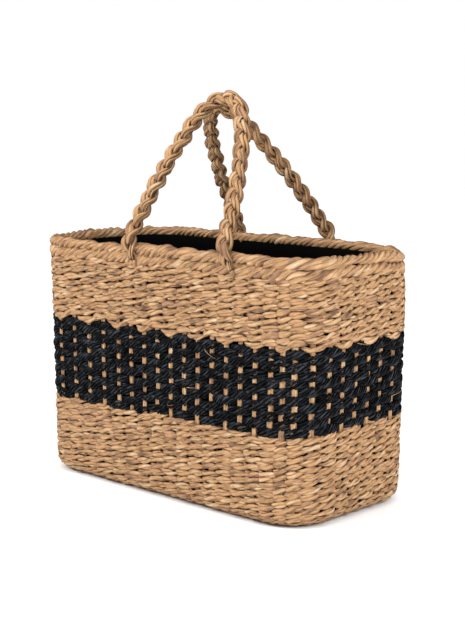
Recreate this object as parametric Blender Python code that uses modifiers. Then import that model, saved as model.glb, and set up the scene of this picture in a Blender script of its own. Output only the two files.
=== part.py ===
"""Woven market basket: twined seagrass walls with a dark plain-woven band, a
black cloth lining and two plaited handles that fold outwards.

Metres, +Z up, +X along the basket, the front wall at -Y. The origin is at the
middle of the underside.
"""
import bpy
import bmesh
from collections import namedtuple
from math import asin, atan2, cos, hypot, pi, sin, sqrt
from mathutils import Matrix, Vector

# ---- driving dimensions -----------------------------------------------------
LENGTH = 0.410            # outside, at the rim
WIDTH = 0.198
HEIGHT = 0.270            # floor to the top of the rim
BOTTOM_LENGTH = 0.396     # outside, at the floor: the end walls flare a little
CORNER_R = 0.051          # plan radius of the four upright corners
EDGE_R = 0.016            # radius between a wall and the base
WALL = 0.0096             # thickness of the weave
GAP = 0.0003              # clearance between touching pieces
CORNER_STEPS = 8          # straight facets in each plan corner

# Heights of the zones of weave, bottom to top.
BAND_BOTTOM = 0.0915
BAND_TOP = 0.1780
BORDER_BOTTOM = 0.2505
ROLL_BOTTOM = 0.2584

# Stakes: flat strips that run down one wall, under the base and up the other.
STAKE_COUNT = 54          # ends at the rim, so half as many stakes
STAKE_W = 0.0070
STAKE_T = 0.0016
STAKE_TOP = BORDER_BOTTOM - 2 * GAP
CROSS_DEPTH = 0.0037      # from the outer face in to the middle of a cross stake
LONG_DEPTH = 0.0056       # the same for a long stake, which lies on the cross stakes
CROSS_SIDE = 9            # cross stakes each side of number 0
LONG_SIDE = 4             # long stakes each side of the middle plane
# Hand-set cross stakes are uneven: some stakes' numbers, and their distances from
# the middle of the wall in stake pitches. The rest are spaced evenly between.
CROSS_PLACES = ((-9, -9.0), (-8, -8.0), (-4, -3.1), (-1, 0.0), (7, 8.0), (9, 9.15))
SLOT_CLEARANCE = 0.0003   # round a stake in its pocket
POCKET_OVERRUN = 0.002    # of the cutter, past the weave at each end

# Base: a layer of weft below the stakes and one above them.
OUTER_LAYER = 0.0024
INNER_LAYER_BOTTOM = 0.0070
BOWL_TOP = EDGE_R + 0.003

LINING_T = 0.0009
LINING_TOP = ROLL_BOTTOM - 0.0006

# Rim roll: centre of its section, and its half sizes.
ROLL_DEPTH = 0.0048
ROLL_Z = HEIGHT - 0.0058
ROLL_HALF_W = 0.0054
ROLL_HALF_H = 0.0055

# Handles: three strands plaited round a centreline that rises outside the wall,
# bends over the rim and leans in until the two handles meet at the top.
FOOT_PITCHES = 7          # stake pitches between the two feet of a handle
FRONT_SHIFT = 2           # pitches from the middle to the front handle's middle
BACK_SHIFT = 0
AXIS_OUT = 0.0110         # hinge axis, out from the wall
AXIS_Z = 0.2460
APEX_Y = 0.0088           # centreline of each handle at the top, from the middle plane
APEX_Z = 0.4228
BEND_R = 0.0162           # centreline radius over the rim roll
FOOT_START = 0.0080       # first point of a strand, above the hinge axis
# Outline of a handle: how far its top stops short of the apex, its sideways lean
# from the middle of the feet, and the exponents of the curve.
Arch = namedtuple("Arch", "short shift rise round")
FRONT_ARCH = Arch(0.0, -0.0235, 1.35, 0.42)
BACK_ARCH = Arch(0.009, -0.016, 1.40, 0.54)
STRAND_R = 0.0025
PLAIT_HALF_W = 0.0058     # sideways swing of a strand about the centreline
PLAIT_HALF_D = 0.0045     # swing in depth
PLAIT_TURNS = 4           # full periods of the plait in one handle
TURN_POINTS = 16
FOOT_SCALE = 0.55         # the plait tapers to this size at its feet
FOOT_TAPER = 0.026        # over this length

# Handle tails: the strand ends drawn through the wall between two stakes.
TAIL_R = 0.0037
TAIL_HOLE_R = 0.0040
TAIL_BALL_R = 0.0046

SEAGRASS = (0.52, 0.34, 0.18)
SEAGRASS_DARK = (0.40, 0.25, 0.13)
BLACK_CORD = (0.018, 0.019, 0.022)
BLACK_CLOTH = (0.006, 0.006, 0.007)


# ---- scene helpers ----------------------------------------------------------
def clear_scene():
    for obj in list(bpy.data.objects):
        bpy.data.objects.remove(obj, do_unlink=True)


def new_collection(name):
    collection = bpy.data.collections.new(name)
    bpy.context.scene.collection.children.link(collection)
    return collection


def finish_part(obj, collection, colour, roughness, smooth=None):
    """Gives a finished object its own material and its collection."""
    material = bpy.data.materials.new(obj.name)
    material.use_nodes = True
    shader = material.node_tree.nodes["Principled BSDF"]
    shader.inputs["Base Color"].default_value = (*colour, 1)
    shader.inputs["Roughness"].default_value = roughness
    shader.inputs["Metallic"].default_value = 0.0
    obj.data.materials.append(material)
    for other in list(obj.users_collection):
        other.objects.unlink(obj)
    collection.objects.link(obj)
    if smooth is not None and obj.type == "MESH":
        obj.data.shade_smooth()
        obj.data.set_sharp_from_angle(angle=smooth)
    return obj


def object_from_bmesh(name, bm):
    bmesh.ops.recalc_face_normals(bm, faces=bm.faces)
    mesh = bpy.data.meshes.new(name)
    bm.to_mesh(mesh)
    bm.free()
    obj = bpy.data.objects.new(name, mesh)
    bpy.context.scene.collection.objects.link(obj)
    return obj


def loft(name, rings, closed=False):
    """Skins rings of equal length; the ends are capped unless the loft closes."""
    bm = bmesh.new()
    verts = [[bm.verts.new(p) for p in ring] for ring in rings]
    count = len(rings[0])
    pairs = list(zip(verts, verts[1:]))
    if closed:
        pairs.append((verts[-1], verts[0]))
    for low, high in pairs:
        for i in range(count):
            j = (i + 1) % count
            bm.faces.new((low[i], low[j], high[j], high[i]))
    if not closed:
        bm.faces.new(verts[0])
        bm.faces.new(verts[-1])
    return object_from_bmesh(name, bm)


# ---- the plan outline -------------------------------------------------------
HALF_X = LENGTH / 2 - CORNER_R     # ends of the straight runs, at the rim
HALF_Y = WIDTH / 2 - CORNER_R
MIDDLE_R = CORNER_R - WALL / 2     # corner radius of the middle of the wall
STAKE_PITCH = (4 * HALF_X + 4 * HALF_Y + 2 * pi * MIDDLE_R) / STAKE_COUNT


def outline(depth):
    """The rounded rectangle at a depth in from the outer face of the wall."""
    radius = CORNER_R - depth
    points = []
    for corner, (cx, cy) in enumerate(((HALF_X, -HALF_Y), (HALF_X, HALF_Y),
                                       (-HALF_X, HALF_Y), (-HALF_X, -HALF_Y))):
        for step in range(CORNER_STEPS + 1):
            a = (corner - 1 + step / CORNER_STEPS) * pi / 2
            points.append((cx + radius * cos(a), cy + radius * sin(a)))
    return points


def flared_x(x, z):
    """Where a point of the rim's plan lies along X at height z: the walls flare."""
    shrink = (LENGTH - BOTTOM_LENGTH) / 2 * (1 - z / HEIGHT)
    if abs(x) <= HALF_X:
        return x * (HALF_X - shrink) / HALF_X
    return x - shrink if x > 0 else x + shrink


def flare(obj):
    """Moves the vertices of a body piece in to the flared walls."""
    for vertex in obj.data.vertices:
        vertex.co.x = flared_x(vertex.co.x, vertex.co.z)
    return obj


def bowl_level(depth, angle):
    """Offset from the outer face and height, on the rounded bottom edge.

    The angle is 0 on the wall and pi/2 on the base.
    """
    radius = EDGE_R - depth
    return depth + radius * (1 - cos(angle)), EDGE_R - radius * sin(angle)


# ---- stakes -----------------------------------------------------------------
def ribbon_ring(centre, across, through):
    """The four corners of a stake's section."""
    w = across * (STAKE_W / 2)
    t = through * (STAKE_T / 2)
    return [centre - w - t, centre + w - t, centre + w + t, centre - w + t]


def stake_half(s, depth, straight_half, wall_y):
    """Sections of half a stake, from its top to the middle of the base.

    It is drawn as a cross stake of the front wall, s from the wall's middle.
    """
    side = 1 if s >= 0 else -1
    radius = CORNER_R - depth
    turn = max(0.0, (abs(s) - straight_half) / MIDDLE_R)
    x = min(abs(s), straight_half) + radius * sin(turn)
    sections = []

    def add(y, z, plan_angle, fall):
        across = Vector((cos(plan_angle), side * sin(plan_angle), 0))
        through = Vector((side * sin(plan_angle) * cos(fall), -cos(plan_angle) * cos(fall), -sin(fall)))
        sections.append(ribbon_ring(Vector((side * x, y, z)), across, through))

    wall_centre = -(wall_y - CORNER_R)
    top_y = wall_centre - radius * cos(turn)
    add(top_y, STAKE_TOP, turn, 0)
    add(top_y, EDGE_R, turn, 0)
    for step in (1, 2, 3):
        fall = step * pi / 6
        offset, z = bowl_level(depth, fall)
        ring_r = CORNER_R - offset
        beyond = max(0.0, x - straight_half)
        plan_angle = asin(beyond / ring_r)
        edge_y = wall_centre - sqrt(ring_r ** 2 - beyond ** 2)
        add(edge_y, z, plan_angle, fall)
    if turn > 0.1:
        add(edge_y + 0.022, z, 0, pi / 2)
    return sections


def make_stake(name, s, depth, straight_half, wall_y, quarter_turn):
    """A whole stake; its second half mirrors the first in the middle plane."""
    half = stake_half(s, depth, straight_half, wall_y)
    mirrored = []
    for ring in reversed(half):
        flipped = [Vector((p.x, -p.y, p.z)) for p in ring]
        mirrored.append(flipped)
    rings = half + mirrored
    if quarter_turn:
        rings = [[Vector((-p.y, p.x, p.z)) for p in ring] for ring in rings]
    return loft(name, rings)


def cross_place(number):
    """Pitches from the middle of the wall to a cross stake."""
    for (low, start), (high, end) in zip(CROSS_PLACES, CROSS_PLACES[1:]):
        if number <= high:
            return start + (end - start) * (number - low) / (high - low)


def stake_positions():
    """Distances of the cross and of the long stakes from the middle of their walls."""
    cross = [cross_place(i) * STAKE_PITCH for i in range(-CROSS_SIDE, CROSS_SIDE + 1)]
    long_ = [(i + 0.5) * STAKE_PITCH for i in range(-LONG_SIDE, LONG_SIDE)]
    return cross, long_


def pocket_place(s, depth, straight_half, wall_y, quarter_turn, far_wall):
    """Place and heading of the box that cuts a stake's pocket through one wall."""
    side = 1 if s >= 0 else -1
    radius = CORNER_R - depth
    turn = max(0.0, (abs(s) - straight_half) / MIDDLE_R)
    x = side * (min(abs(s), straight_half) + radius * sin(turn))
    y = -(wall_y - CORNER_R) - radius * cos(turn)
    heading = side * turn
    if far_wall:
        y = -y
        heading = -heading
    if quarter_turn:
        x, y = -y, x
        heading += pi / 2
    middle = (BOWL_TOP + BORDER_BOTTOM) / 2
    height = BORDER_BOTTOM - BOWL_TOP + 2 * POCKET_OVERRUN
    size = (STAKE_W + 2 * SLOT_CLEARANCE, STAKE_T + 2 * SLOT_CLEARANCE, height, 1)
    return Matrix.Translation((x, y, middle)) @ Matrix.Rotation(heading, 4, "Z") @ Matrix.Diagonal(size)


# ---- the weave --------------------------------------------------------------
def make_pocket_cutter(places, cutters):
    """One cutter of many boxes, for the pockets of all the stakes."""
    bm = bmesh.new()
    for place in places:
        bmesh.ops.create_cube(bm, size=1, matrix=place)
    bmesh.ops.triangulate(bm, faces=bm.faces)
    return as_cutter(flare(object_from_bmesh("pocket_cutter", bm)), cutters)


def as_cutter(obj, cutters):
    obj.hide_render = True
    obj.display_type = "WIRE"
    for other in list(obj.users_collection):
        other.objects.unlink(obj)
    cutters.objects.link(obj)
    return obj


def cut_with(obj, cutter):
    cut = obj.modifiers.new(cutter.name, "BOOLEAN")
    cut.operation = "DIFFERENCE"
    cut.solver = "EXACT"
    cut.object = cutter


def weave_zone(name, bottom, top, pocket_cutter):
    """A ring of weave with a pocket through it for every stake."""
    section = [(0, bottom), (WALL, bottom), (WALL, top), (0, top)]
    ring = ring_of_section(name, section)
    cut_with(ring, pocket_cutter)
    return ring


def base_layer(name, low, high, top):
    """A shallow tray of weft, between two depths from the outer face."""
    rings = []
    for depth, rising in ((low, True), (high, False)):
        levels = [(depth, top)] + [bowl_level(depth, step * pi / 6) for step in range(4)]
        if rising:
            levels.reverse()
        rings += [[(x, y, z) for x, y in outline(offset)] for offset, z in levels]
    return flare(loft(name, rings))


def make_lining(name):
    """A bag of cloth inside the weave, open at the top."""
    outer = WALL + GAP
    inner = outer + LINING_T
    floor_z = outer
    soft = 0.006
    levels = [(outer + soft, floor_z), (outer, floor_z + soft), (outer, LINING_TOP),
              (inner, LINING_TOP), (inner, floor_z + soft), (inner + soft, floor_z + LINING_T)]
    rings = [[(x, y, z) for x, y in outline(offset)] for offset, z in levels]
    return flare(loft(name, rings))


def ring_of_section(name, section):
    """A closed band round the basket, from (depth, z) points of its section."""
    rings = [[(x, y, z) for x, y in outline(depth)] for depth, z in section]
    return flare(loft(name, rings, closed=True))


def rim_roll(name):
    sides = 8
    section = []
    for i in range(sides):
        a = 2 * pi * i / sides + pi / sides
        scale = 1 / cos(pi / sides)
        section.append((ROLL_DEPTH + ROLL_HALF_W * cos(a) * scale, ROLL_Z + ROLL_HALF_H * sin(a) * scale))
    return ring_of_section(name, section)


# ---- handles ----------------------------------------------------------------
BEND_CENTRE_Y = WIDTH / 2 + AXIS_OUT - BEND_R
BEND_CENTRE_Z = ROLL_Z
TO_APEX = (BEND_CENTRE_Y - APEX_Y, APEX_Z - BEND_CENTRE_Z)
APEX_DISTANCE = hypot(*TO_APEX)
LEAN = atan2(TO_APEX[0], TO_APEX[1]) + asin(BEND_R / APEX_DISTANCE)
RISE_1 = BEND_CENTRE_Z - AXIS_Z
RISE_2 = RISE_1 + BEND_R * LEAN
RISE_TOTAL = RISE_2 + sqrt(APEX_DISTANCE ** 2 - BEND_R ** 2)


def lean_path(rise):
    """(distance out from the middle plane, z, lean) at a length up the handle."""
    out = WIDTH / 2 + AXIS_OUT
    if rise <= RISE_1:
        return out, AXIS_Z + rise, 0.0
    if rise <= RISE_2:
        a = (rise - RISE_1) / BEND_R
        return BEND_CENTRE_Y + BEND_R * cos(a), BEND_CENTRE_Z + BEND_R * sin(a), a
    along = rise - RISE_2
    y = BEND_CENTRE_Y + BEND_R * cos(LEAN) - along * sin(LEAN)
    z = BEND_CENTRE_Z + BEND_R * sin(LEAN) + along * cos(LEAN)
    return y, z, LEAN


def handle_centreline(side, middle, arch, samples=400):
    """Points and depth directions up one leg, over the arch and down the other.

    side is -1 for the front handle and 1 for the back one.
    """
    half_foot = FOOT_PITCHES * STAKE_PITCH / 2
    top = RISE_TOTAL - arch.short
    leg = []
    for i in range(samples + 1):
        t = 1 - (1 - i / samples) ** 3
        rise = FOOT_START + t * (top - FOOT_START)
        spread = half_foot * (1 - (rise / top) ** arch.rise) ** arch.round if i < samples else 0.0
        leg.append((spread, rise))
    both = [(-s, r) for s, r in leg] + [(s, r) for s, r in reversed(leg[:-1])]
    centres = []
    outward = []
    for spread, rise in both:
        out, z, lean = lean_path(rise)
        x = middle + arch.shift * rise / top + spread
        centres.append(Vector((x, side * out, z)))
        outward.append(Vector((0, side * cos(lean), sin(lean))))
    return centres, outward


def plait_strand(centres, outward, phase):
    """(point, radius) along one strand of the plait."""
    lengths = [0.0]
    for a, b in zip(centres, centres[1:]):
        lengths.append(lengths[-1] + (b - a).length)
    total = lengths[-1]
    count = PLAIT_TURNS * TURN_POINTS
    points = []
    k = 0
    for i in range(count + 1):
        at = total * i / count
        while k < len(lengths) - 2 and lengths[k + 1] < at:
            k += 1
        f = (at - lengths[k]) / (lengths[k + 1] - lengths[k])
        centre = centres[k].lerp(centres[k + 1], f)
        tangent = (centres[k + 1] - centres[k]).normalized()
        depth = outward[k].lerp(outward[k + 1], f)
        depth = (depth - tangent * depth.dot(tangent)).normalized()
        across = tangent.cross(depth)
        near_end = min(1.0, min(at, total - at) / FOOT_TAPER)
        scale = FOOT_SCALE + (1 - FOOT_SCALE) * near_end * near_end * (3 - 2 * near_end)
        angle = 2 * pi * (at / total * PLAIT_TURNS + phase)
        offset = across * (PLAIT_HALF_W * sin(angle)) + depth * (PLAIT_HALF_D * sin(2 * angle))
        points.append((centre + offset * scale, STRAND_R * scale))
    return points


def make_strand(name, points, origin):
    """A round strand along its points, with its origin on the hinge axis."""
    curve = bpy.data.curves.new(name, "CURVE")
    curve.dimensions = "3D"
    curve.bevel_depth = 1.0
    curve.bevel_resolution = 1
    curve.use_fill_caps = True
    spline = curve.splines.new("POLY")
    spline.points.add(len(points) - 1)
    for point, (co, radius) in zip(spline.points, points):
        point.co = (*(co - origin), 1)
        point.radius = radius
    obj = bpy.data.objects.new(name, curve)
    obj.location = origin
    bpy.context.scene.collection.objects.link(obj)
    return obj


def make_tail(name, x, side):
    """A turned plug through the wall, with a round head on the hinge axis."""
    inner = -(AXIS_OUT + WALL - GAP)
    neck = -sqrt(TAIL_BALL_R ** 2 - TAIL_R ** 2)
    profile = [(0, inner), (TAIL_R, inner), (TAIL_R, neck)]
    for step in range(1, 5):
        a = asin(TAIL_R / TAIL_BALL_R) + step / 4 * (pi - asin(TAIL_R / TAIL_BALL_R))
        profile.append((TAIL_BALL_R * sin(a) if step < 4 else 0, -TAIL_BALL_R * cos(a)))
    mesh = bpy.data.meshes.new(name)
    edges = [(i, i + 1) for i in range(len(profile) - 1)]
    mesh.from_pydata([(r, 0, h) for r, h in reversed(profile)], edges, [])
    obj = bpy.data.objects.new(name, mesh)
    bpy.context.scene.collection.objects.link(obj)
    screw = obj.modifiers.new("turn", "SCREW")
    screw.steps = 10
    screw.render_steps = 10
    screw.use_merge_vertices = True
    screw.merge_threshold = 0.00001
    screw.use_smooth_shade = True
    obj.location = (flared_x(x, AXIS_Z), side * (WIDTH / 2 + AXIS_OUT), AXIS_Z)
    obj.rotation_euler = (-side * pi / 2, 0, 0)
    return obj


def cut_tail_holes(weave, feet, cutters):
    """Bores the wall where the handle tails pass through it."""
    for i, (x, side) in enumerate(feet):
        bpy.ops.mesh.primitive_cylinder_add(
            vertices=10, radius=TAIL_HOLE_R, depth=4 * WALL,
            location=(flared_x(x, AXIS_Z), side * (WIDTH / 2 - WALL / 2), AXIS_Z),
            rotation=(pi / 2, 0, 0))
        cutter = bpy.context.object
        cutter.name = "tail_cutter_%d" % (i + 1)
        cut_with(weave, as_cutter(cutter, cutters))


# ---- the basket -------------------------------------------------------------
def build():
    clear_scene()
    parts = new_collection("market_basket")
    cutters = new_collection("cutters")
    cross, long_ = stake_positions()

    places = []
    for far_wall in (False, True):
        places += [pocket_place(s, CROSS_DEPTH, HALF_X, WIDTH / 2, False, far_wall) for s in cross]
        places += [pocket_place(s, LONG_DEPTH, HALF_Y, LENGTH / 2, True, far_wall) for s in long_]
    pockets = make_pocket_cutter(places, cutters)

    finish_part(base_layer("base_weave", 0, OUTER_LAYER, BOWL_TOP), parts, SEAGRASS, 0.8)
    finish_part(base_layer("base_inner_weave", INNER_LAYER_BOTTOM, WALL, BOWL_TOP),
                parts, SEAGRASS, 0.8)

    lower_bottom = BOWL_TOP + GAP
    finish_part(weave_zone("lower_weave", lower_bottom, BAND_BOTTOM - GAP, pockets), parts, SEAGRASS, 0.8)
    finish_part(weave_zone("band_weave", BAND_BOTTOM, BAND_TOP - GAP, pockets), parts, BLACK_CORD, 0.7)
    upper = weave_zone("upper_weave", BAND_TOP, BORDER_BOTTOM - GAP, pockets)

    half_foot = FOOT_PITCHES * STAKE_PITCH / 2
    front_middle = FRONT_SHIFT * STAKE_PITCH
    back_middle = BACK_SHIFT * STAKE_PITCH
    feet = [(front_middle - half_foot, -1), (front_middle + half_foot, -1),
            (back_middle - half_foot, 1), (back_middle + half_foot, 1)]
    cut_tail_holes(upper, feet, cutters)
    finish_part(upper, parts, SEAGRASS, 0.8)

    border = [(0, BORDER_BOTTOM), (WALL, BORDER_BOTTOM), (WALL, ROLL_BOTTOM - GAP), (0, ROLL_BOTTOM - GAP)]
    finish_part(ring_of_section("border_row", border), parts, SEAGRASS, 0.8)
    finish_part(rim_roll("rim_roll"), parts, SEAGRASS, 0.8, smooth=pi / 3)
    finish_part(make_lining("lining"), parts, BLACK_CLOTH, 0.95)

    for i, s in enumerate(cross):
        stake = flare(make_stake("cross_stake_%02d" % (i + 1), s, CROSS_DEPTH, HALF_X, WIDTH / 2, False))
        finish_part(stake, parts, SEAGRASS_DARK, 0.75)
    for i, s in enumerate(long_):
        stake = flare(make_stake("long_stake_%02d" % (i + 1), s, LONG_DEPTH, HALF_Y, LENGTH / 2, True))
        finish_part(stake, parts, SEAGRASS_DARK, 0.75)

    for side, name, middle, arch in ((-1, "front", front_middle, FRONT_ARCH),
                                     (1, "back", back_middle, BACK_ARCH)):
        centres, outward = handle_centreline(side, middle, arch)
        hinge = Vector((middle, side * (WIDTH / 2 + AXIS_OUT), AXIS_Z))
        for number in (1, 2, 3):
            points = plait_strand(centres, outward, number / 3)
            strand = make_strand("%s_handle_strand_%d" % (name, number), points, hinge)
            finish_part(strand, parts, SEAGRASS, 0.7)
        for label, sign in (("left", -1), ("right", 1)):
            tail = make_tail("%s_handle_tail_%s" % (name, label), middle + sign * half_foot, side)
            finish_part(tail, parts, SEAGRASS, 0.75)


build()
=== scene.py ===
"""Looks of the woven market basket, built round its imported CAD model.

Metres, in the CAD's frame: +Z up, the front wall at -Y, the origin under the middle.
A place on the weave is (s, q, depth): s is the length round the basket from the
middle of the front wall, to the right as seen from outside; q is the length up the
outer face from the top of the rounded bottom edge, negative round that edge and
under the base; depth is measured in from the outer face.
"""
from collections import namedtuple
from math import asin, atan2, cos, hypot, pi, sin, sqrt

import bpy
import numpy as np
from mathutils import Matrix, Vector


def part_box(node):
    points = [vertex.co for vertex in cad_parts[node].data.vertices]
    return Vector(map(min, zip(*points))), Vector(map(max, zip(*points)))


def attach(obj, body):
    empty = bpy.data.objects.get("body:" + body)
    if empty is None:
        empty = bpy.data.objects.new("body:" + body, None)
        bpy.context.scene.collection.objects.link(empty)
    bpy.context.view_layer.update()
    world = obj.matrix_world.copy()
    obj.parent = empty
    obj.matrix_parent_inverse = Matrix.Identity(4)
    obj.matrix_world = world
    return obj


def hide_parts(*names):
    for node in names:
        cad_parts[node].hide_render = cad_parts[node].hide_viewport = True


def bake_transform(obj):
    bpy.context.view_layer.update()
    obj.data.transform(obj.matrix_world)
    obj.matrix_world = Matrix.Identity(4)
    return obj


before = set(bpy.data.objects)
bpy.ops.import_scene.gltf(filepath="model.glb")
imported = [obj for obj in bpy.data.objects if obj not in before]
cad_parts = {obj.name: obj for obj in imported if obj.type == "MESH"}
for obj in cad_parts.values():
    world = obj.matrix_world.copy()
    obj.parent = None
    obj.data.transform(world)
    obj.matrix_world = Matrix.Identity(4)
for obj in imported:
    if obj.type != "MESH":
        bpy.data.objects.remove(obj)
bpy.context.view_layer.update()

# ---- driving dimensions, as in the CAD source --------------------------------
LENGTH = 0.410
WIDTH = 0.198
HEIGHT = 0.270
BOTTOM_LENGTH = 0.396
CORNER_R = 0.051
EDGE_R = 0.016
WALL = 0.0096
STAKE_COUNT = 54
STAKE_W = 0.0070
CROSS_DEPTH = 0.0037
LONG_DEPTH = 0.0043                # nearer the face than in CAD, so that they show in the band
CROSS_SIDE = 9
LONG_SIDE = 4
CROSS_PLACES = ((-9, -9.0), (-8, -8.0), (-4, -3.1), (-1, 0.0), (7, 8.0), (9, 9.15))
LINING_T = 0.0009
ROLL_DEPTH = 0.0048
ROLL_Z = HEIGHT - 0.0058

FOOT_PITCHES = 7
FRONT_SHIFT = 2
BACK_SHIFT = 0
AXIS_OUT = 0.0110
AXIS_Z = 0.2460
APEX_Y = 0.0088
APEX_Z = 0.4228
BEND_R = 0.0162
Arch = namedtuple("Arch", "short shift rise round")
FRONT_ARCH = Arch(0.0, -0.0235, 1.35, 0.42)
BACK_ARCH = Arch(0.009, -0.016, 1.40, 0.54)
PLAIT_HALF_W = 0.0045
PLAIT_HALF_D = 0.0036
PLAIT_TURNS = 8.0
FOOT_START = 0.0080
FOOT_SCALE = 0.55
FOOT_TAPER = 0.026

HALF_X = LENGTH / 2 - CORNER_R
HALF_Y = WIDTH / 2 - CORNER_R
MIDDLE_R = CORNER_R - WALL / 2
STAKE_PITCH = (4 * HALF_X + 4 * HALF_Y + 2 * pi * MIDDLE_R) / STAKE_COUNT
EDGE_ARC = EDGE_R * pi / 2         # length of the rounded bottom edge, down the outer face
SLUMP = 0.0045                     # how far the back right corner of the rim has sagged in
SLUMP_REACH = 0.035

BASKET = "basket"


# ---- places on the basket -----------------------------------------------------
def loop_length(shrink=0.0):
    """Once round the middle of the wall, or round a smaller outline."""
    return 4 * (HALF_X - shrink) + 4 * (HALF_Y - shrink) + 2 * pi * MIDDLE_R


def outline_at(s, shrink=0.0):
    """Corner centres and outward directions at lengths s round the plan outline."""
    hx = HALF_X - shrink
    hy = HALF_Y - shrink
    quarter = MIDDLE_R * pi / 2
    legs = [0, hx, quarter, 2 * hy, quarter, 2 * hx, quarter, 2 * hy, quarter, hx]
    at = np.cumsum(legs)
    s = np.mod(s, at[-1])
    cx = np.interp(s, at, [0, hx, hx, hx, hx, -hx, -hx, -hx, -hx, 0])
    cy = np.interp(s, at, [-hy, -hy, -hy, hy, hy, hy, hy, -hy, -hy, -hy])
    quarters = np.interp(s, at, [-1, -1, 0, 0, 1, 1, 2, 2, 3, 3])
    return cx, cy, quarters * pi / 2


def flared(x, z):
    """The end walls lean out a little towards the rim."""
    shrink = (LENGTH - BOTTOM_LENGTH) / 2 * (1 - z / HEIGHT)
    inner = np.abs(x) <= HALF_X
    return np.where(inner, x * (HALF_X - shrink) / HALF_X, x - np.sign(x) * shrink)


def place(s, q, depth, shrink=0.0):
    """Points of the basket at (s, q, depth), as an array with a last axis of three."""
    cx, cy, heading = outline_at(s, shrink)
    fall = np.clip(-q / EDGE_R, 0, pi / 2)
    edge = EDGE_R - depth
    offset = depth + edge * (1 - np.cos(fall)) + np.maximum(0, -q - EDGE_ARC)
    z = EDGE_R + np.maximum(q, 0) - edge * np.sin(fall)
    reach = CORNER_R - offset + shrink
    x = cx + reach * np.cos(heading)
    y = cy + reach * np.sin(heading)
    sag = slump(x, y, z)
    return np.stack(np.broadcast_arrays(flared(x, z) - sag, y - 0.3 * sag, z - 1.2 * sag), axis=-1)


def slump(x, y, z):
    """How far the back right corner of the rim has sagged in, as handwork does."""
    near = np.exp(-((x - HALF_X - 0.04) ** 2 + (y - HALF_Y - 0.03) ** 2) / (2 * SLUMP_REACH ** 2))
    return SLUMP * near * np.clip((z - 0.20) / 0.07, 0, 1) ** 2


def stake_places():
    """Where the stakes' ends come up, as pitches round the basket from the front middle."""
    numbers, places = zip(*CROSS_PLACES)
    front = np.interp(np.arange(-CROSS_SIDE, CROSS_SIDE + 1), numbers, places)
    half = STAKE_COUNT / 2
    end = half / 2 + 0.5 + np.arange(-LONG_SIDE, LONG_SIDE)
    return np.concatenate([front, end, half - front[::-1], half + end])


def stake_number(s):
    """Counts the stakes up to a length s round the basket, and runs evenly between them."""
    turns = np.floor(np.asarray(s) / loop_length() + CORNER_TURN)
    places = np.append(STAKE_PLACES, STAKE_PLACES[0] + STAKE_COUNT) * STAKE_PITCH
    numbers = np.arange(STAKE_COUNT + 1) - CROSS_SIDE
    within = s - turns * loop_length()
    return np.interp(within, places, numbers) + turns * STAKE_COUNT


STAKE_PLACES = stake_places()
CORNER_TURN = -STAKE_PLACES[0] / STAKE_COUNT   # share of the loop before the front middle


def wander(rng, turn, knots, size):
    """A smooth random value round a loop, where turn goes from 0 to 1."""
    values = rng.normal(0.0, size, knots)
    at = turn * knots
    low = np.floor(at).astype(int)
    f = at - low
    f = f * f * (3 - 2 * f)
    return values[low % knots] * (1 - f) + values[(low + 1) % knots] * f


# ---- strands ------------------------------------------------------------------
# Each strand is a few plies laid round each other. A ply's section is an oval in the
# strand's own (height, out) plane; 'reach' is how far its middle lies from the
# strand's, 'fill' its half size, both as shares of the strand's half size.
# 'edge' over 1 makes the section a flat leaf with thin edges.
Lay = namedtuple("Lay", "plies reach fill spread creases edge sides")
TWO_PLY = Lay(2, 0.46, 0.58, 0.20, 0.12, 1.5, 12)
CORD_PLY = Lay(5, 0.70, 0.33, 0.0, 0.12, 1.0, 8)


def ply_sections(rng, lay, number, angle, half_h, half_t, turn):
    """(height, out) of the section points of one ply, for each point of its strand."""
    a = angle + 2 * pi * number / lay.plies
    front = np.maximum(0, np.sin(a))
    around = 2 * pi * np.arange(lay.sides) / lay.sides
    knots = max(4, int(len(turn) / 9))
    crease = np.stack([1 + wander(rng, turn, knots, lay.creases) for _ in around], axis=1)
    own = 1 + wander(rng, turn, knots, lay.creases)
    tall = half_h * lay.fill * (1 + lay.spread * front) * own
    thick = half_t * lay.fill * own
    height = -np.cos(a) * half_h * lay.reach
    out = np.sin(a) * half_t * lay.reach
    leaf = np.sin(around) * np.abs(np.sin(around)) ** (lay.edge - 1)
    h = height[:, None] + tall[:, None] * np.cos(around) * crease
    t = out[:, None] + thick[:, None] * leaf * crease
    return h, t


def edge_shade(sides, strength, power=5):
    """Painted shade: how far each point of a section lies in the groove beside its ply."""
    around = 2 * pi * np.arange(sides) / sides
    return strength * np.abs(np.cos(around)) ** power


def grain(along, number, sides, girth):
    """Coordinates for the fibres of a ply: along it, round it, and its own number."""
    around = np.arange(sides) / sides * girth
    shape = (len(along), sides)
    return np.stack([np.broadcast_to(along[:, None], shape),
                     np.broadcast_to(around, shape),
                     np.full(shape, float(number))], axis=-1)


# The third field is painted shade: how far each point's colour is darkened where shade falls.
Tube = namedtuple("Tube", "points grain sunk closed")


def tube_faces(count, sides, closed, first):
    """Quads of a tube whose points are numbered section by section."""
    last = count if closed else count - 1
    i = np.arange(last)[:, None]
    j = np.arange(sides)[None, :]
    a = i * sides + j
    b = i * sides + (j + 1) % sides
    c = ((i + 1) % count) * sides + (j + 1) % sides
    d = ((i + 1) % count) * sides + j
    return np.stack([a, b, c, d], axis=-1).reshape(-1, 4) + first


def signed_volume(points, quads):
    a, b, c, d = (points[quads[:, k]] for k in range(4))
    return np.einsum("ij,ij->", a, np.cross(b, c)) + np.einsum("ij,ij->", a, np.cross(c, d))


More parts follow.
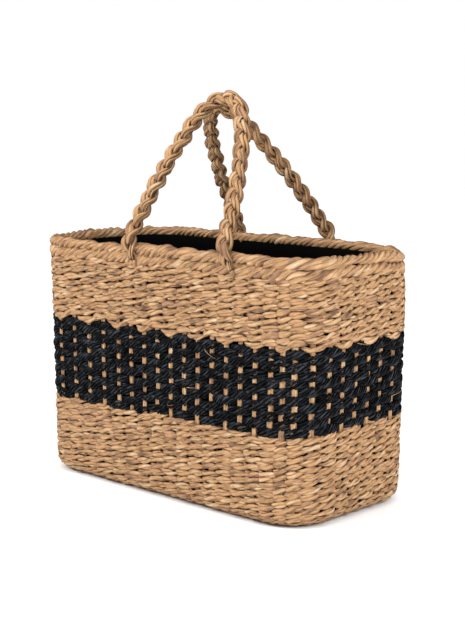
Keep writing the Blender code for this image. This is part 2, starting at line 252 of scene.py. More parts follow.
def mesh_of_tubes(name, tubes, material):
    """One object of many tubes; open ones are capped."""
    points, grains, sunk, faces = [], [], [], []
    first = 0
    for tube in tubes:
        count, sides, _ = tube.points.shape
        flat = tube.points.reshape(-1, 3)
        quads = tube_faces(count, sides, tube.closed, 0)
        inside_out = signed_volume(flat, quads) < 0
        if inside_out:
            quads = quads[:, ::-1]
        faces += (quads + first).tolist()
        if not tube.closed:
            start = list(range(first, first + sides))
            end = list(range(first + (count - 1) * sides, first + count * sides))
            faces += [start, end[::-1]] if inside_out else [start[::-1], end]
        points.append(flat)
        grains.append(tube.grain.reshape(-1, 3))
        sunk.append(tube.sunk.reshape(-1))
        first += len(flat)
    mesh = bpy.data.meshes.new(name)
    mesh.from_pydata(np.concatenate(points), [], faces)
    add_attribute(mesh, "grain", "FLOAT_VECTOR", "vector", np.concatenate(grains))
    # Painted shade for each point, read by the fibre material.
    add_attribute(mesh, "sunk", "FLOAT", "value", np.concatenate(sunk))
    mesh.shade_smooth()
    mesh.materials.append(material)
    obj = bpy.data.objects.new(name, mesh)
    bpy.context.scene.collection.objects.link(obj)
    return obj


def add_attribute(mesh, name, kind, field, values):
    attribute = mesh.attributes.new(name, kind, "POINT")
    attribute.data.foreach_set(field, np.asarray(values, np.float32).ravel())


# ---- the weave ----------------------------------------------------------------
# A weft row passes in front of every second stake and behind the others. Half
# heights are at the pass in front of a stake and midway between two stakes.
# 'dive' is where it starts to go in, from 1 at the stake in front to -1 at the next.
# 'slant' is how far a pass climbs from its middle to its end; the last two fields say
# how dark the painted shade in the groove beside a ply is, and how narrow.
Weft = namedtuple("Weft", "lay pitch pass_half cross_half back_half half_t front back dive power"
                  " lay_wall lay_end step slant crevice narrow")
NATURAL = Weft(TWO_PLY, 0.00345, 0.0037, 0.0029, 0.0016, 0.0017, 0.0017, 0.0072, 0.6, 1.7,
               0.046, 0.031, 0.0020, 0.0006, 0.70, 5)
BAND = Weft(CORD_PLY, 0.00777, 0.0055, 0.0044, 0.0040, 0.0023, 0.0024, 0.0068, -0.35, 1.1,
            0.030, 0.028, 0.0016, 0.0003, 0.98, 2)
BAND_ROWS = 11
BAND_TOP_ROW = 0.1777 - EDGE_R     # q of the middle of the top row of the band
TOP_ROW_SQUEEZE = 0.0015           # its neighbours push it down by this
BAND_STRETCH = 0.0045              # the most that the lowest row is out of level
STRETCH_PLACES = (-0.030, 0.005, 0.170, 0.220, 0.400)
STRETCH_SHARES = (0.0, 1.0, 1.0, 0.1, 0.0)
SHORT_ROW_END = -0.015


def twist(rng, weft, s, length):
    """Angle of the plies along a row: tighter on the end walls, whole turns in all."""
    heading = outline_at(s)[2]
    on_end = np.cos(heading) ** 2
    rate = 2 * pi / (weft.lay_wall + (weft.lay_end - weft.lay_wall) * on_end)
    rate = rate * (1 + wander(rng, np.arange(len(s)) / len(s), 40, 0.26))
    angle = np.cumsum(rate) * length / len(s)
    turns = max(1, round(angle[-1] / (2 * pi)))
    return angle * (turns * 2 * pi / angle[-1]) + rng.uniform(0, 2 * pi)


def weft_row(rng, weft, row, level, number, shrink=0.0, level_shift=None, ends=None):
    """The plies of one row. Even rows pass in front of the stakes with even numbers."""
    length = loop_length(shrink)
    count = int(length / weft.step)
    turn = np.arange(count) / count
    s = (rng.uniform(0, length) if ends is None else ends[0]) + turn * length
    unshrunk = s * loop_length() / length
    phase = pi * (stake_number(unshrunk) + row) + wander(rng, turn, STAKE_COUNT, 0.26)
    front = np.cos(phase)
    inside = np.clip((weft.dive - front) / (weft.dive + 1), 0, 1) ** weft.power
    size = 1 + wander(rng, turn, STAKE_COUNT, 0.07)
    half_h = size * np.interp(front, [-1, 0, 1], [weft.back_half, weft.cross_half, weft.pass_half])
    half_t = weft.half_t * (1 + wander(rng, turn, STAKE_COUNT, 0.08))
    q = level + wander(rng, turn, 16, 0.0003) + wander(rng, turn, STAKE_COUNT, 0.0003)
    q = q + weft.slant * np.sin(phase) * (1 + wander(rng, turn, STAKE_COUNT, 0.3))
    if level_shift is not None:
        q = q + level_shift(s)
    depth = weft.front + (weft.back - weft.front) * inside + wander(rng, turn, STAKE_COUNT, 0.00025)
    angle = twist(rng, weft, s, length)
    kept = np.full(count, True)
    if ends is not None:
        kept = s < ends[1]
        from_end = np.minimum(s - ends[0], ends[1] - s)
        taper = np.sqrt(np.clip(from_end / 0.016, 0.05, 1))
        half_h = half_h * taper
        depth = depth + 0.0035 * (1 - taper)
        q = q + 0.0025 * (1 - taper)
    tubes = []
    for ply in range(weft.lay.plies):
        h, t = ply_sections(rng, weft.lay, ply, angle, half_h, half_t, turn)
        points = place(s[:, None], q[:, None] + h, depth[:, None] - t, shrink)
        girth = 4 * (weft.pass_half + weft.half_t) * weft.lay.fill
        # Painted shade: darker where a ply lies deep in the wall, and in the groove beside each ply.
        deep_shade = np.clip((depth[:, None] - t - 0.0026) / 0.003, 0, 1)
        sunk = np.maximum(deep_shade, edge_shade(weft.lay.sides, weft.crevice, weft.narrow))
        fibres = grain(turn * length, number + ply / 7, weft.lay.sides, girth)
        tubes.append(Tube(points[kept], fibres[kept], sunk[kept], ends is None))
    return tubes


def stake_wave(s):
    """1 at the stakes with even numbers, 0 at the odd ones."""
    return 0.5 + 0.5 * np.cos(pi * stake_number(s))


def upper_rows(rng):
    """Rows from the border down to the band, where they dip between its humps."""
    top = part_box("upper_weave")[1].z - EDGE_R
    bottom = BAND_TOP_ROW + 0.0035
    count = round((top - bottom) / NATURAL.pitch)
    pitch = (top - bottom) / count
    rows = []
    for row in range(count):
        dip = 0.0034 * 0.72 ** row

        def shift(s, dip=dip):
            return 0.4 * dip - dip * stake_wave(s)

        rows.append(weft_row(rng, NATURAL, row, bottom + (row + 0.5) * pitch, 100 + row, level_shift=shift))
    return rows


def band_stretch(s):
    """0 to 1: how much lower the band's rows lie on the right of the front wall."""
    s = np.mod(s + loop_length() / 2, loop_length()) - loop_length() / 2
    return np.interp(s, STRETCH_PLACES, STRETCH_SHARES)


def band_foot(s):
    """q of the band's lower edge: a short last row runs only on the left."""
    s = np.mod(s + loop_length() / 2, loop_length()) - loop_length() / 2
    last = BAND_TOP_ROW - (BAND_ROWS - 0.5) * BAND.pitch
    at_front = np.clip(0.5 - (s - SHORT_ROW_END) / 0.030, 0, 1)
    at_back = np.clip((s + loop_length() / 2) / 0.040, 0, 1)
    short = BAND.pitch * at_front * at_back
    return last - short - BAND_STRETCH * band_stretch(s)


LOWEST_ROW_LIFT = 0.0012           # keeps the last row of the wall off the floor
UNDERSIDE_ROWS = 4                 # these lie deeper in the wall, for the same reason
UNDERSIDE = NATURAL._replace(front=0.0026)


def lower_rows(rng):
    """Rows from the band down and round the bottom edge."""
    mean_top = BAND_TOP_ROW - BAND_ROWS * BAND.pitch
    count = round((mean_top + EDGE_ARC) / NATURAL.pitch)
    rows = []
    for row in range(count):
        push = 0.0016 * 0.7 ** row
        share = (row + 0.5) / count
        level = mean_top - share * (mean_top + EDGE_ARC - LOWEST_ROW_LIFT)

        def shift(s, push=push, share=share):
            return (band_foot(s) - mean_top) * (1 - share) + push * (stake_wave(s) - 0.5)

        weft = UNDERSIDE if row >= count - UNDERSIDE_ROWS else NATURAL
        rows.append(weft_row(rng, weft, row + 1, level, 200 + row, level_shift=shift))
    return rows


def band_rows(rng):
    rows = []
    for row in range(BAND_ROWS):
        level = BAND_TOP_ROW - row * BAND.pitch - (TOP_ROW_SQUEEZE if row == 0 else 0)
        low = (row / BAND_ROWS) ** 2

        def shift(s, low=low):
            return -BAND_STRETCH * low * band_stretch(s)

        rows.append(weft_row(rng, BAND, row + 1, level, 300 + row, level_shift=shift))
    ends = (-loop_length() / 2, SHORT_ROW_END)
    level = BAND_TOP_ROW - BAND_ROWS * BAND.pitch
    rows.append(weft_row(rng, BAND, BAND_ROWS + 1, level, 300 + BAND_ROWS, ends=ends))
    return rows


def in_pieces(name, rows, per_piece, material):
    """Joins rows into pieces of a few rows each."""
    pieces = []
    for number, first in enumerate(range(0, len(rows), per_piece)):
        tubes = [tube for row in rows[first:first + per_piece] for tube in row]
        piece = mesh_of_tubes("%s_%d" % (name, number + 1), tubes, material)
        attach(piece, BASKET)
        pieces.append(piece)
    return pieces


# ---- materials ----------------------------------------------------------------
def new_material(name, roughness):
    material = bpy.data.materials.new(name)
    material.use_nodes = True
    shader = material.node_tree.nodes["Principled BSDF"]
    shader.inputs["Roughness"].default_value = roughness
    return material, shader


def add_node(material, kind, **inputs):
    node = material.node_tree.nodes.new(kind)
    for name, value in inputs.items():
        node.inputs[name].default_value = value
    return node


def join(material, source, target):
    material.node_tree.links.new(source, target)


def scaled_grain(material, scale):
    """The grain coordinates, stretched by a factor for each axis."""
    source = add_node(material, "ShaderNodeAttribute")
    source.attribute_name = "grain"
    multiply = add_node(material, "ShaderNodeVectorMath")
    multiply.operation = "MULTIPLY"
    multiply.inputs[1].default_value = scale
    join(material, source.outputs["Vector"], multiply.inputs[0])
    return multiply.outputs["Vector"]


def noise(material, vector, detail, roughness=0.55):
    node = add_node(material, "ShaderNodeTexNoise", Scale=1.0, Detail=detail, Roughness=roughness)
    join(material, vector, node.inputs["Vector"])
    return node.outputs["Fac"]


def ramp(material, value, stops):
    node = add_node(material, "ShaderNodeValToRGB")
    elements = node.color_ramp.elements
    while len(elements) < len(stops):
        elements.new(0.5)
    for element, (at, colour) in zip(elements, stops):
        element.position = at
        element.color = (*colour, 1)
    join(material, value, node.inputs["Fac"])
    return node.outputs["Color"]


def mix(material, kind, factor, a, b):
    """Blends two colours; factor and b may be plain values."""
    node = add_node(material, "ShaderNodeMix")
    node.data_type = "RGBA"
    node.blend_type = kind
    for value, socket in ((factor, node.inputs["Factor"]), (a, node.inputs["A"]), (b, node.inputs["B"])):
        if isinstance(value, bpy.types.NodeSocket):
            join(material, value, socket)
        elif isinstance(value, tuple):
            socket.default_value = (*value, 1)
        else:
            socket.default_value = value
    return node.outputs["Result"]


def fibre_material(name, tones, streaks, deep_shade, tone_scale, roughness, gloss_level, bump_depth):
    """Plant fibre or cord: tones that change along each ply, fine streaks, and painted shade in the
    grooves, where the sheen is taken out too.
    """
    material, shader = new_material(name, roughness)
    tone = noise(material, scaled_grain(material, tone_scale), 3)
    colour = ramp(material, tone, tones)
    streak = noise(material, scaled_grain(material, (60, 620, 3.1)), 4, 0.65)
    colour = mix(material, "MULTIPLY", 1.0, colour, ramp(material, streak, streaks))
    # Painted shade: the colour turns to the shade colour as each point's painted shade grows.
    sunk = add_node(material, "ShaderNodeAttribute")
    sunk.attribute_name = "sunk"
    colour = mix(material, "MIX", sunk.outputs["Fac"], colour, deep_shade)
    join(material, colour, shader.inputs["Base Color"])
    # Painted shade also takes the sheen out of the same grooves.
    shine = add_node(material, "ShaderNodeMapRange")
    shine.inputs["To Min"].default_value = gloss_level
    shine.inputs["To Max"].default_value = 0.0
    join(material, sunk.outputs["Fac"], shine.inputs["Value"])
    join(material, shine.outputs["Result"], shader.inputs["Specular IOR Level"])
    fine = noise(material, scaled_grain(material, (110, 2400, 1.7)), 2)
    gloss = add_node(material, "ShaderNodeMapRange")
    gloss.inputs["To Min"].default_value = roughness - 0.12
    gloss.inputs["To Max"].default_value = min(1.0, roughness + 0.14)
    join(material, fine, gloss.inputs["Value"])
    join(material, gloss.outputs["Result"], shader.inputs["Roughness"])
    bump = add_node(material, "ShaderNodeBump", Strength=0.8, Distance=bump_depth)
    join(material, streak, bump.inputs["Height"])
    join(material, bump.outputs["Normal"], shader.inputs["Normal"])
    return material


def seagrass_material():
    tones = [(0.28, (0.180, 0.098, 0.058)), (0.40, (0.330, 0.190, 0.108)), (0.46, (0.450, 0.262, 0.132)),
             (0.52, (0.400, 0.228, 0.110)), (0.60, (0.490, 0.308, 0.168)), (0.72, (0.580, 0.420, 0.270))]
    streaks = [(0.32, (0.36, 0.32, 0.30)), (0.47, (0.92, 0.90, 0.87)), (0.68, (1.20, 1.20, 1.20))]
    # Colour of the painted shade in the grooves.
    deep_shade = (0.050, 0.026, 0.014)
    return fibre_material("seagrass", tones, streaks, deep_shade, (40, 90, 5.37), 0.70, 0.15, 0.0005)


def cord_material():
    tones = [(0.32, (0.002, 0.002, 0.0022)), (0.5, (0.009, 0.010, 0.0115)), (0.68, (0.045, 0.050, 0.058))]
    streaks = [(0.3, (0.25, 0.25, 0.25)), (0.7, (1.8, 1.8, 1.8))]
    # Colour of the painted shade in the grooves.
    deep_shade = (0.0002, 0.0002, 0.0002)
    return fibre_material("black_cord", tones, streaks, deep_shade, (110, 60, 5.37), 0.60, 0.04, 0.0008)


def cloth_material():
    material, shader = new_material("lining_cloth", 0.95)
    coordinates = add_node(material, "ShaderNodeTexCoord")
    weave = add_node(material, "ShaderNodeTexNoise", Scale=900.0, Detail=2.0)
    join(material, coordinates.outputs["Object"], weave.inputs["Vector"])
    stops = [(0.3, (0.0008, 0.0008, 0.0009)), (0.7, (0.0024, 0.0024, 0.0026))]
    join(material, ramp(material, weave.outputs["Fac"], stops), shader.inputs["Base Color"])
    bump = add_node(material, "ShaderNodeBump", Strength=0.4, Distance=0.0002)
    join(material, weave.outputs["Fac"], bump.inputs["Height"])
    join(material, bump.outputs["Normal"], shader.inputs["Normal"])
    shader.inputs["Specular IOR Level"].default_value = 0.02
    return material


# ---- rim ----------------------------------------------------------------------
RIM_LAY = 0.040                    # length of one turn of a rope's plies
BORDER_LAY = 0.046
ROLL = Lay(4, 0.50, 0.54, 0.0, 0.16, 1.3, 14)
BORDER = Lay(4, 0.54, 0.52, 0.10, 0.16, 1.4, 12)


def rope_ring(rng, number, depth, level, half_h, half_t, lay_length, lay):
    """A thick rope laid round the top of the wall."""
    length = loop_length()
    count = int(length / 0.0016)
    turn = np.arange(count) / count
    s = rng.uniform(0, length) + turn * length
    rate = (1 + wander(rng, turn, 60, 0.25)) * 2 * pi / lay_length
    angle = np.cumsum(rate) * length / count
    turns = round(angle[-1] / (2 * pi))
    angle = angle * (turns * 2 * pi / angle[-1])
    size = 1 + wander(rng, turn, 90, 0.10)
    q = level + wander(rng, turn, 30, 0.0006) + wander(rng, turn, 90, 0.0004)
    inward = depth + wander(rng, turn, 30, 0.0004)
    tubes = []
    for ply in range(lay.plies):
        h, t = ply_sections(rng, lay, ply, angle, half_h * size, half_t * size, turn)
        points = place(s[:, None], q[:, None] + h, inward[:, None] - t)
        # Painted shade: darker towards the rope's core and in the grooves beside each ply.
        deep_shade = np.clip(0.9 - np.hypot(h / half_h, t / half_t) * 1.3, 0, 1)
        sunk = np.maximum(deep_shade, edge_shade(lay.sides, 0.75, 4))
        girth = 4 * (half_h + half_t) * lay.fill
        tubes.append(Tube(points, grain(turn * length, number + ply / 7, lay.sides, girth), sunk, True))
    return tubes


# ---- base ---------------------------------------------------------------------
BASE_PITCH = 0.0069
SMALLEST_CORNER = 0.008


def base_rows(rng):
    """Rings of weft under the base, from its edge to its middle."""
    weft = NATURAL._replace(pass_half=0.0037, cross_half=0.0034, back_half=0.0033, front=0.0032,
                            back=0.0042, step=0.004, slant=0.0, lay=TWO_PLY._replace(sides=8))
    rows = []
    q = -EDGE_ARC - BASE_PITCH / 2
    row = 0
    while True:
        offset = EDGE_R - q - EDGE_ARC
        shrink = max(0.0, SMALLEST_CORNER - (CORNER_R - offset))
        if HALF_Y - shrink < 0.002:
            return rows
        rows.append(weft_row(rng, weft, row, q, 400 + row, shrink=shrink))
        q -= BASE_PITCH
        row += 1


# ---- stakes -------------------------------------------------------------------
STAKE_SIDES = 10
STAKE_CREST = 0.0011
FIBRE_COUNT = 46
FIBRE_R = 0.00035


def stake_strip(rng, s, depth, number):
    """The part of a stake inside a wall, as a folded strip with a crease."""
    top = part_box("upper_weave")[1].z - EDGE_R
    q = np.linspace(-EDGE_ARC / 2, top, 110)
    turn = np.linspace(0, 1, len(q))
    wide = STAKE_W / 2 * (1 + wander(rng, turn, 20, 0.06))
    across = np.array([-1, -0.55, -0.12, 0, 0.12, 0.55, 1, 0.6, 0, -0.6])
    crest = np.array([0, 0.8, 0.9, 0.45, 0.9, 0.8, 0, -0.6, -0.7, -0.6])
    crest = crest * (1 + wander(rng, turn, 30, 0.2)[:, None] * np.sign(across))
    middle = s + wander(rng, turn, 12, 0.0003)
    points = place(middle[:, None] + wide[:, None] * across, q[:, None], depth - STAKE_CREST * crest)
    sunk = np.zeros((len(q), STAKE_SIDES))
    return Tube(points, grain(q, number, STAKE_SIDES, 0.016), sunk, False)


def stake_tubes(rng):
    cross, long_ = [], []
    for number, place_ in enumerate(STAKE_PLACES):
        is_cross = number % (STAKE_COUNT // 2) <= 2 * CROSS_SIDE
        depth = CROSS_DEPTH if is_cross else LONG_DEPTH
        tube = stake_strip(rng, place_ * STAKE_PITCH, depth, 500 + number)
        (cross if is_cross else long_).append(tube)
    return cross, long_


def stray_fibres(rng, material):
    """Thin ends of fibre that have worked loose from the weave."""
    tubes = []
    for number in range(FIBRE_COUNT):
        s = rng.uniform(0, loop_length())
        q = rng.choice([rng.uniform(0.02, 0.24), ROLL_Z - EDGE_R + 0.003])
        length = rng.uniform(0.008, 0.022)
        lean = rng.uniform(-1, 1)
        t = np.linspace(0, 1, 9)
        out = 0.002 - rng.uniform(0.003, 0.008) * np.sin(pi * (0.1 + 0.7 * t))
        centre_s = s + length * t
        centre_q = q + length * 0.5 * lean * t
        around = 2 * pi * np.arange(5) / 5
        thick = FIBRE_R * (1.1 - t)[:, None]
        points = place(centre_s[:, None] + 0 * thick, centre_q[:, None] + thick * np.cos(around),
                       out[:, None] + thick * np.sin(around))
        tubes.append(Tube(points, grain(length * t, 700 + number, 5, 0.002), np.zeros((9, 5)), False))
    piece = mesh_of_tubes("stray_fibres", tubes, material)
    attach(piece, BASKET)


# ---- lining -------------------------------------------------------------------
def lining_bag(material):
    """A thin closed bag: down the outside, across the bottom and up the inside."""
    low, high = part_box("lining")
    rng = np.random.default_rng(41)
    count = 240
    turn = np.arange(count) / count
    s = turn * loop_length()
    folds = wander(rng, turn, 30, 0.0007)
    sags = wander(rng, turn, 44, 0.0005)
    top = high.z + 0.003 - EDGE_R

    def wall_ring(depth, level):
        share = level / top
        ripple = np.abs(folds * (1 - share) + sags * share) * 4 * share * (1 - share)
        return place(s, np.full(count, level), depth + ripple)

    def floor_ring(depth, inset, height):
        ring = place(s, np.full(count, 0.0), np.full(count, depth + inset))
        ring[:, 2] = height
        return ring

    outer = WALL + 0.0005
    inner = outer + LINING_T
    floor = low.z + 0.0004
    levels = np.linspace(0.0, top, 24)
    profile = [floor_ring(outer, 0.004, floor), floor_ring(outer, 0.0012, floor + 0.0015)]
    profile += [wall_ring(outer, level) for level in levels]
    profile += [wall_ring(inner, level) for level in levels[::-1]]
    profile.append(floor_ring(inner, 0.0012, floor + 0.0015 + LINING_T))
    profile.append(floor_ring(inner, 0.004, floor + LINING_T))
    points = np.stack(profile)
    grain_here = np.zeros(points.shape)
    tube = Tube(points, grain_here, np.zeros(points.shape[:2]), False)
    return mesh_of_tubes("lining_bag", [tube], material)


# ---- handles ------------------------------------------------------------------
BEND_CENTRE_Y = WIDTH / 2 + AXIS_OUT - BEND_R
BEND_CENTRE_Z = ROLL_Z
TO_APEX = (BEND_CENTRE_Y - APEX_Y, APEX_Z - BEND_CENTRE_Z)
APEX_DISTANCE = hypot(*TO_APEX)
LEAN = atan2(TO_APEX[0], TO_APEX[1]) + asin(BEND_R / APEX_DISTANCE)
RISE_1 = BEND_CENTRE_Z - AXIS_Z
RISE_2 = RISE_1 + BEND_R * LEAN
RISE_TOTAL = RISE_2 + sqrt(APEX_DISTANCE ** 2 - BEND_R ** 2)
FOOT_TUCK = 0.0085                 # the foot lies this much nearer the wall than its hinge axis
FOOT_TUCK_RISE = 0.026
STRAND_HALF_W = 0.0050             # half width and half thickness of a strand of the plait
STRAND_HALF_T = 0.0036
ZIGZAG = 0.90                      # 0 = strands swing in a sine, 1 = in a sharp zigzag
CREVICE_DEPTH = 0.0042             # how near the middle of the plait the painted shade of its gaps reaches
SQUEEZE = 0.17                     # strands are wider on the faces of the plait than at its edges
HANDLE_LAY = 0.140
STRAND_PLIES = Lay(4, 0.58, 0.46, 0.20, 0.16, 1.3, 12)


def lean_path(rise):
    """(distance out from the middle plane, z, lean) at a length up the handle."""
    if rise <= RISE_1:
        return WIDTH / 2 + AXIS_OUT, AXIS_Z + rise, 0.0
    if rise <= RISE_2:
        a = (rise - RISE_1) / BEND_R
        return BEND_CENTRE_Y + BEND_R * cos(a), BEND_CENTRE_Z + BEND_R * sin(a), a
    along = rise - RISE_2
    y = BEND_CENTRE_Y + BEND_R * cos(LEAN) - along * sin(LEAN)
    z = BEND_CENTRE_Z + BEND_R * sin(LEAN) + along * cos(LEAN)
    return y, z, LEAN


def handle_line(side, middle, arch, samples=400):
    """Points and depth directions up one leg, over the arch and down the other."""
    half_foot = FOOT_PITCHES * STAKE_PITCH / 2
    top = RISE_TOTAL - arch.short
    leg = []
    for i in range(samples + 1):
        t = 1 - (1 - i / samples) ** 3
        rise = FOOT_START + t * (top - FOOT_START)
        spread = half_foot * (1 - (rise / top) ** arch.rise) ** arch.round if i < samples else 0.0
        leg.append((spread, rise))
    both = [(-s, r) for s, r in leg] + [(s, r) for s, r in reversed(leg[:-1])]
    centres, outward = [], []
    for spread, rise in both:
        out, z, lean = lean_path(rise)
        ease = min(1.0, (rise - FOOT_START) / FOOT_TUCK_RISE)
        out -= FOOT_TUCK * (1 - ease * ease * (3 - 2 * ease))
        centres.append((middle + arch.shift * rise / top + spread, side * out, z))
        outward.append((0, side * cos(lean), sin(lean)))
    return np.array(centres), np.array(outward)


def unit(v):
    return v / np.linalg.norm(v, axis=1, keepdims=True)


def plait_shade(offset, across, depth, scale):
    """Painted shade: dark where a strand dips to the middle of the plait, away from its edges."""
    deep_shade = 1 - np.abs(np.sum(offset * depth[:, None], axis=2)) / CREVICE_DEPTH
    inner = 1.6 - np.abs(np.sum(offset * across[:, None], axis=2)) / (PLAIT_HALF_W * scale[:, None])
    return 1.3 * np.clip(deep_shade, 0, 1) * np.clip(inner, 0, 1)


def plait_strand(rng, centres, outward, phase, number):
    """The plies of one strand of a plaited handle."""
    steps = np.linalg.norm(np.diff(centres, axis=0), axis=1)
    lengths = np.concatenate([[0], np.cumsum(steps)])
    total = lengths[-1]
    at = np.linspace(0, total, 520)
    turn = at / total
    centre = np.stack([np.interp(at, lengths, centres[:, k]) for k in range(3)], axis=1)
    out = np.stack([np.interp(at, lengths, outward[:, k]) for k in range(3)], axis=1)
    tangent = unit(np.gradient(centre, at, axis=0))
    depth = unit(out - tangent * np.sum(out * tangent, axis=1, keepdims=True))
    across = np.cross(tangent, depth)
    near_end = np.clip(np.minimum(at, total - at) / FOOT_TAPER, 0, 1)
    scale = FOOT_SCALE + (1 - FOOT_SCALE) * near_end * near_end * (3 - 2 * near_end)
    angle = 2 * pi * (turn * PLAIT_TURNS + phase)
    zigzag = np.arcsin(ZIGZAG * np.sin(angle)) / asin(ZIGZAG)
    swing = across * (PLAIT_HALF_W * zigzag * scale)[:, None]
    line = centre + swing + depth * (PLAIT_HALF_D * np.sin(2 * angle) * scale)[:, None]
    tangent = unit(np.gradient(line, at, axis=0))
    face = unit(depth - tangent * np.sum(depth * tangent, axis=1, keepdims=True))
    side = np.cross(tangent, face)
    rate = (1 + wander(rng, turn, 20, 0.2)) * 2 * pi / HANDLE_LAY
    lay_angle = np.cumsum(rate) * total / len(at) + rng.uniform(0, 2 * pi)
    flat = SQUEEZE * np.cos(2 * angle)
    half_w = STRAND_HALF_W * scale * (1 + flat + wander(rng, turn, 30, 0.06))
    half_t = STRAND_HALF_T * scale * (1 - 0.6 * flat + wander(rng, turn, 30, 0.06))
    tubes = []
    for ply in range(STRAND_PLIES.plies):
        h, t = ply_sections(rng, STRAND_PLIES, ply, lay_angle, half_w, half_t, turn)
        points = line[:, None] + side[:, None] * h[..., None] + face[:, None] * t[..., None]
        # Painted shade in the grooves beside each ply and where the strands dip to the plait's middle.
        shade = plait_shade(points - centre[:, None], across, depth, scale)
        sunk = edge_shade(STRAND_PLIES.sides, 0.8, 4) + shade
        tubes.append(Tube(points, grain(at, number + ply / 7, STRAND_PLIES.sides, 0.016), sunk, False))
    return tubes


def make_handle(label, side, middle, arch, material, seed):
    rng = np.random.default_rng(seed)
    centres, outward = handle_line(side, middle, arch)
    for number in (1, 2, 3):
        tubes = plait_strand(rng, centres, outward, number / 3, seed * 10 + number)
        piece = mesh_of_tubes("%s_plait_%d" % (label, number), tubes, material)
        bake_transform(piece)
        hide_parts("%s_handle_strand_%d" % (label, number))
    half_foot = FOOT_PITCHES * STAKE_PITCH / 2
    make_tail(label, "left", side, middle - half_foot, material, seed + 30)
    make_tail(label, "right", side, middle + half_foot, material, seed + 40)


def make_tail(label, hand, side, x, material, seed):
    """The ends of a leg's strands, drawn through the wall and cut short inside it."""
    rng = np.random.default_rng(seed)
    tubes = []
    start = np.array([x, side * (WIDTH / 2 + AXIS_OUT - FOOT_TUCK), AXIS_Z + FOOT_START])
    for number in range(3):
        spread = (number - 1) * 0.0014
        end = np.array([x + 2 * spread, side * (WIDTH / 2 - WALL), AXIS_Z - 0.001 * number])
        bend = np.array([x + spread, side * (WIDTH / 2 + 0.0015), AXIS_Z + 0.001])
        t = np.linspace(0, 1, 24)[:, None]
        line = (1 - t) ** 2 * start + 2 * t * (1 - t) * bend + t ** 2 * end
        turn = t[:, 0]
        half_w = np.full(24, 0.0030)
        half_t = np.full(24, 0.0022)
        h, d = ply_sections(rng, STRAND_PLIES, number, 6 * turn, half_w, half_t, turn)
        tangent = unit(np.gradient(line, axis=0))
        across = np.tile([1.0, 0, 0], (24, 1))
        face = unit(np.cross(across, tangent))
        points = line[:, None] + across[:, None] * h[..., None] + face[:, None] * d[..., None]
        tubes.append(Tube(points, grain(turn * 0.02, seed + number, STRAND_PLIES.sides, 0.012),
                          np.zeros(h.shape), False))
    piece = mesh_of_tubes("%s_tail_%s" % (label, hand), tubes, material)
    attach(piece, BASKET)
    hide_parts("%s_handle_tail_%s" % (label, hand))


# ---- stage --------------------------------------------------------------------
AMBIENT = 0.5                      # the studio's own light; the camera sees its walls as white


def make_camera():
    data = bpy.data.cameras.new("camera")
    data.lens = 76.84
    camera = bpy.data.objects.new("camera", data)
    bpy.context.scene.collection.objects.link(camera)
    camera.location = (1.0035, -1.0394, 0.4018)
    aim = Vector((0.0096, 0.0093, 0.1927)) - camera.location
    camera.rotation_euler = aim.to_track_quat("-Z", "Y").to_euler()
    bpy.context.scene.camera = camera


def make_area_light(name, location, size, power):
    data = bpy.data.lights.new(name, "AREA")
    data.size = size
    data.energy = power
    light = bpy.data.objects.new(name, data)
    bpy.context.scene.collection.objects.link(light)
    light.location = location
    aim = Vector((0, 0, HEIGHT / 2)) - light.location
    light.rotation_euler = aim.to_track_quat("-Z", "Y").to_euler()


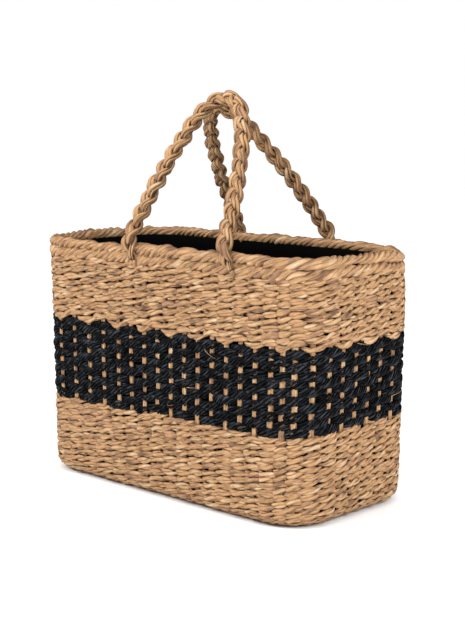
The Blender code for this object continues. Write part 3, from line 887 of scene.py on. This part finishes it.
def make_stage():
    world = bpy.data.worlds.new("studio")
    world.use_nodes = True
    tree = world.node_tree
    background = tree.nodes["Background"]
    background.inputs["Color"].default_value = (1, 1, 1, 1)
    path = tree.nodes.new("ShaderNodeLightPath")
    strength = tree.nodes.new("ShaderNodeMapRange")
    strength.inputs["To Min"].default_value = AMBIENT
    strength.inputs["To Max"].default_value = 1.0
    tree.links.new(path.outputs["Is Camera Ray"], strength.inputs["Value"])
    tree.links.new(strength.outputs["Result"], background.inputs["Strength"])
    bpy.context.scene.world = world
    make_area_light("key_light", (-0.5, -1.7, 1.5), 0.9, 32.5)
    make_area_light("fill_light", (1.8, -0.3, 1.2), 0.9, 27.5)
    sun = bpy.data.lights.new("overhead_light", "SUN")
    sun.energy = 1.8
    sun.angle = 1.5
    overhead = bpy.data.objects.new("overhead_light", sun)
    bpy.context.scene.collection.objects.link(overhead)
    bpy.ops.mesh.primitive_plane_add(size=30)
    floor = bpy.context.object
    floor.name = "floor"
    material, shader = new_material("floor", 0.9)
    shader.inputs["Base Color"].default_value = (0.93, 0.93, 0.94, 1)
    shader.inputs["Specular IOR Level"].default_value = 0.0
    floor.data.materials.append(material)
    bpy.context.scene.view_settings.view_transform = "Standard"


# ---- the basket ---------------------------------------------------------------
def build():
    seagrass = seagrass_material()
    cord = cord_material()
    cloth = cloth_material()

    upper = in_pieces("upper_weft", upper_rows(np.random.default_rng(11)), 7, seagrass)
    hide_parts("upper_weave")
    band = in_pieces("band_weft", band_rows(np.random.default_rng(12)), 3, cord)
    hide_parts("band_weave")
    lower = in_pieces("lower_weft", lower_rows(np.random.default_rng(13)), 6, seagrass)
    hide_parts("lower_weave")
    base = in_pieces("base_weft", base_rows(np.random.default_rng(14)), 20, seagrass)
    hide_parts("base_weave", "base_inner_weave")

    rng = np.random.default_rng(15)
    roll = rope_ring(rng, 600, ROLL_DEPTH, ROLL_Z - EDGE_R, 0.0058, 0.0056, RIM_LAY, ROLL)
    piece = in_pieces("rim_rope", [roll], 1, seagrass)[0]
    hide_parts("rim_roll")
    border_z = (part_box("border_row")[0].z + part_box("border_row")[1].z) / 2
    border = rope_ring(rng, 610, 0.0034, border_z - EDGE_R, 0.0064, 0.0036, BORDER_LAY, BORDER)
    piece = in_pieces("border_rope", [border], 1, seagrass)[0]
    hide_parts("border_row")

    cross, long_ = stake_tubes(np.random.default_rng(16))
    kinds = (("cross_stake", cross, 2 * CROSS_SIDE + 1), ("long_stake", long_, 2 * LONG_SIDE))
    for name, tubes, count in kinds:
        piece = mesh_of_tubes(name + "s", tubes, seagrass)
        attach(piece, BASKET)
        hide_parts(*["%s_%02d" % (name, i + 1) for i in range(count)])

    stray_fibres(np.random.default_rng(17), seagrass)

    bag = lining_bag(cloth)
    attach(bag, BASKET)
    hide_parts("lining")

    middle_front = FRONT_SHIFT * STAKE_PITCH
    middle_back = BACK_SHIFT * STAKE_PITCH
    make_handle("front", -1, middle_front, FRONT_ARCH, seagrass, 21)
    make_handle("back", 1, middle_back, BACK_ARCH, seagrass, 22)


make_camera()
make_stage()
build()
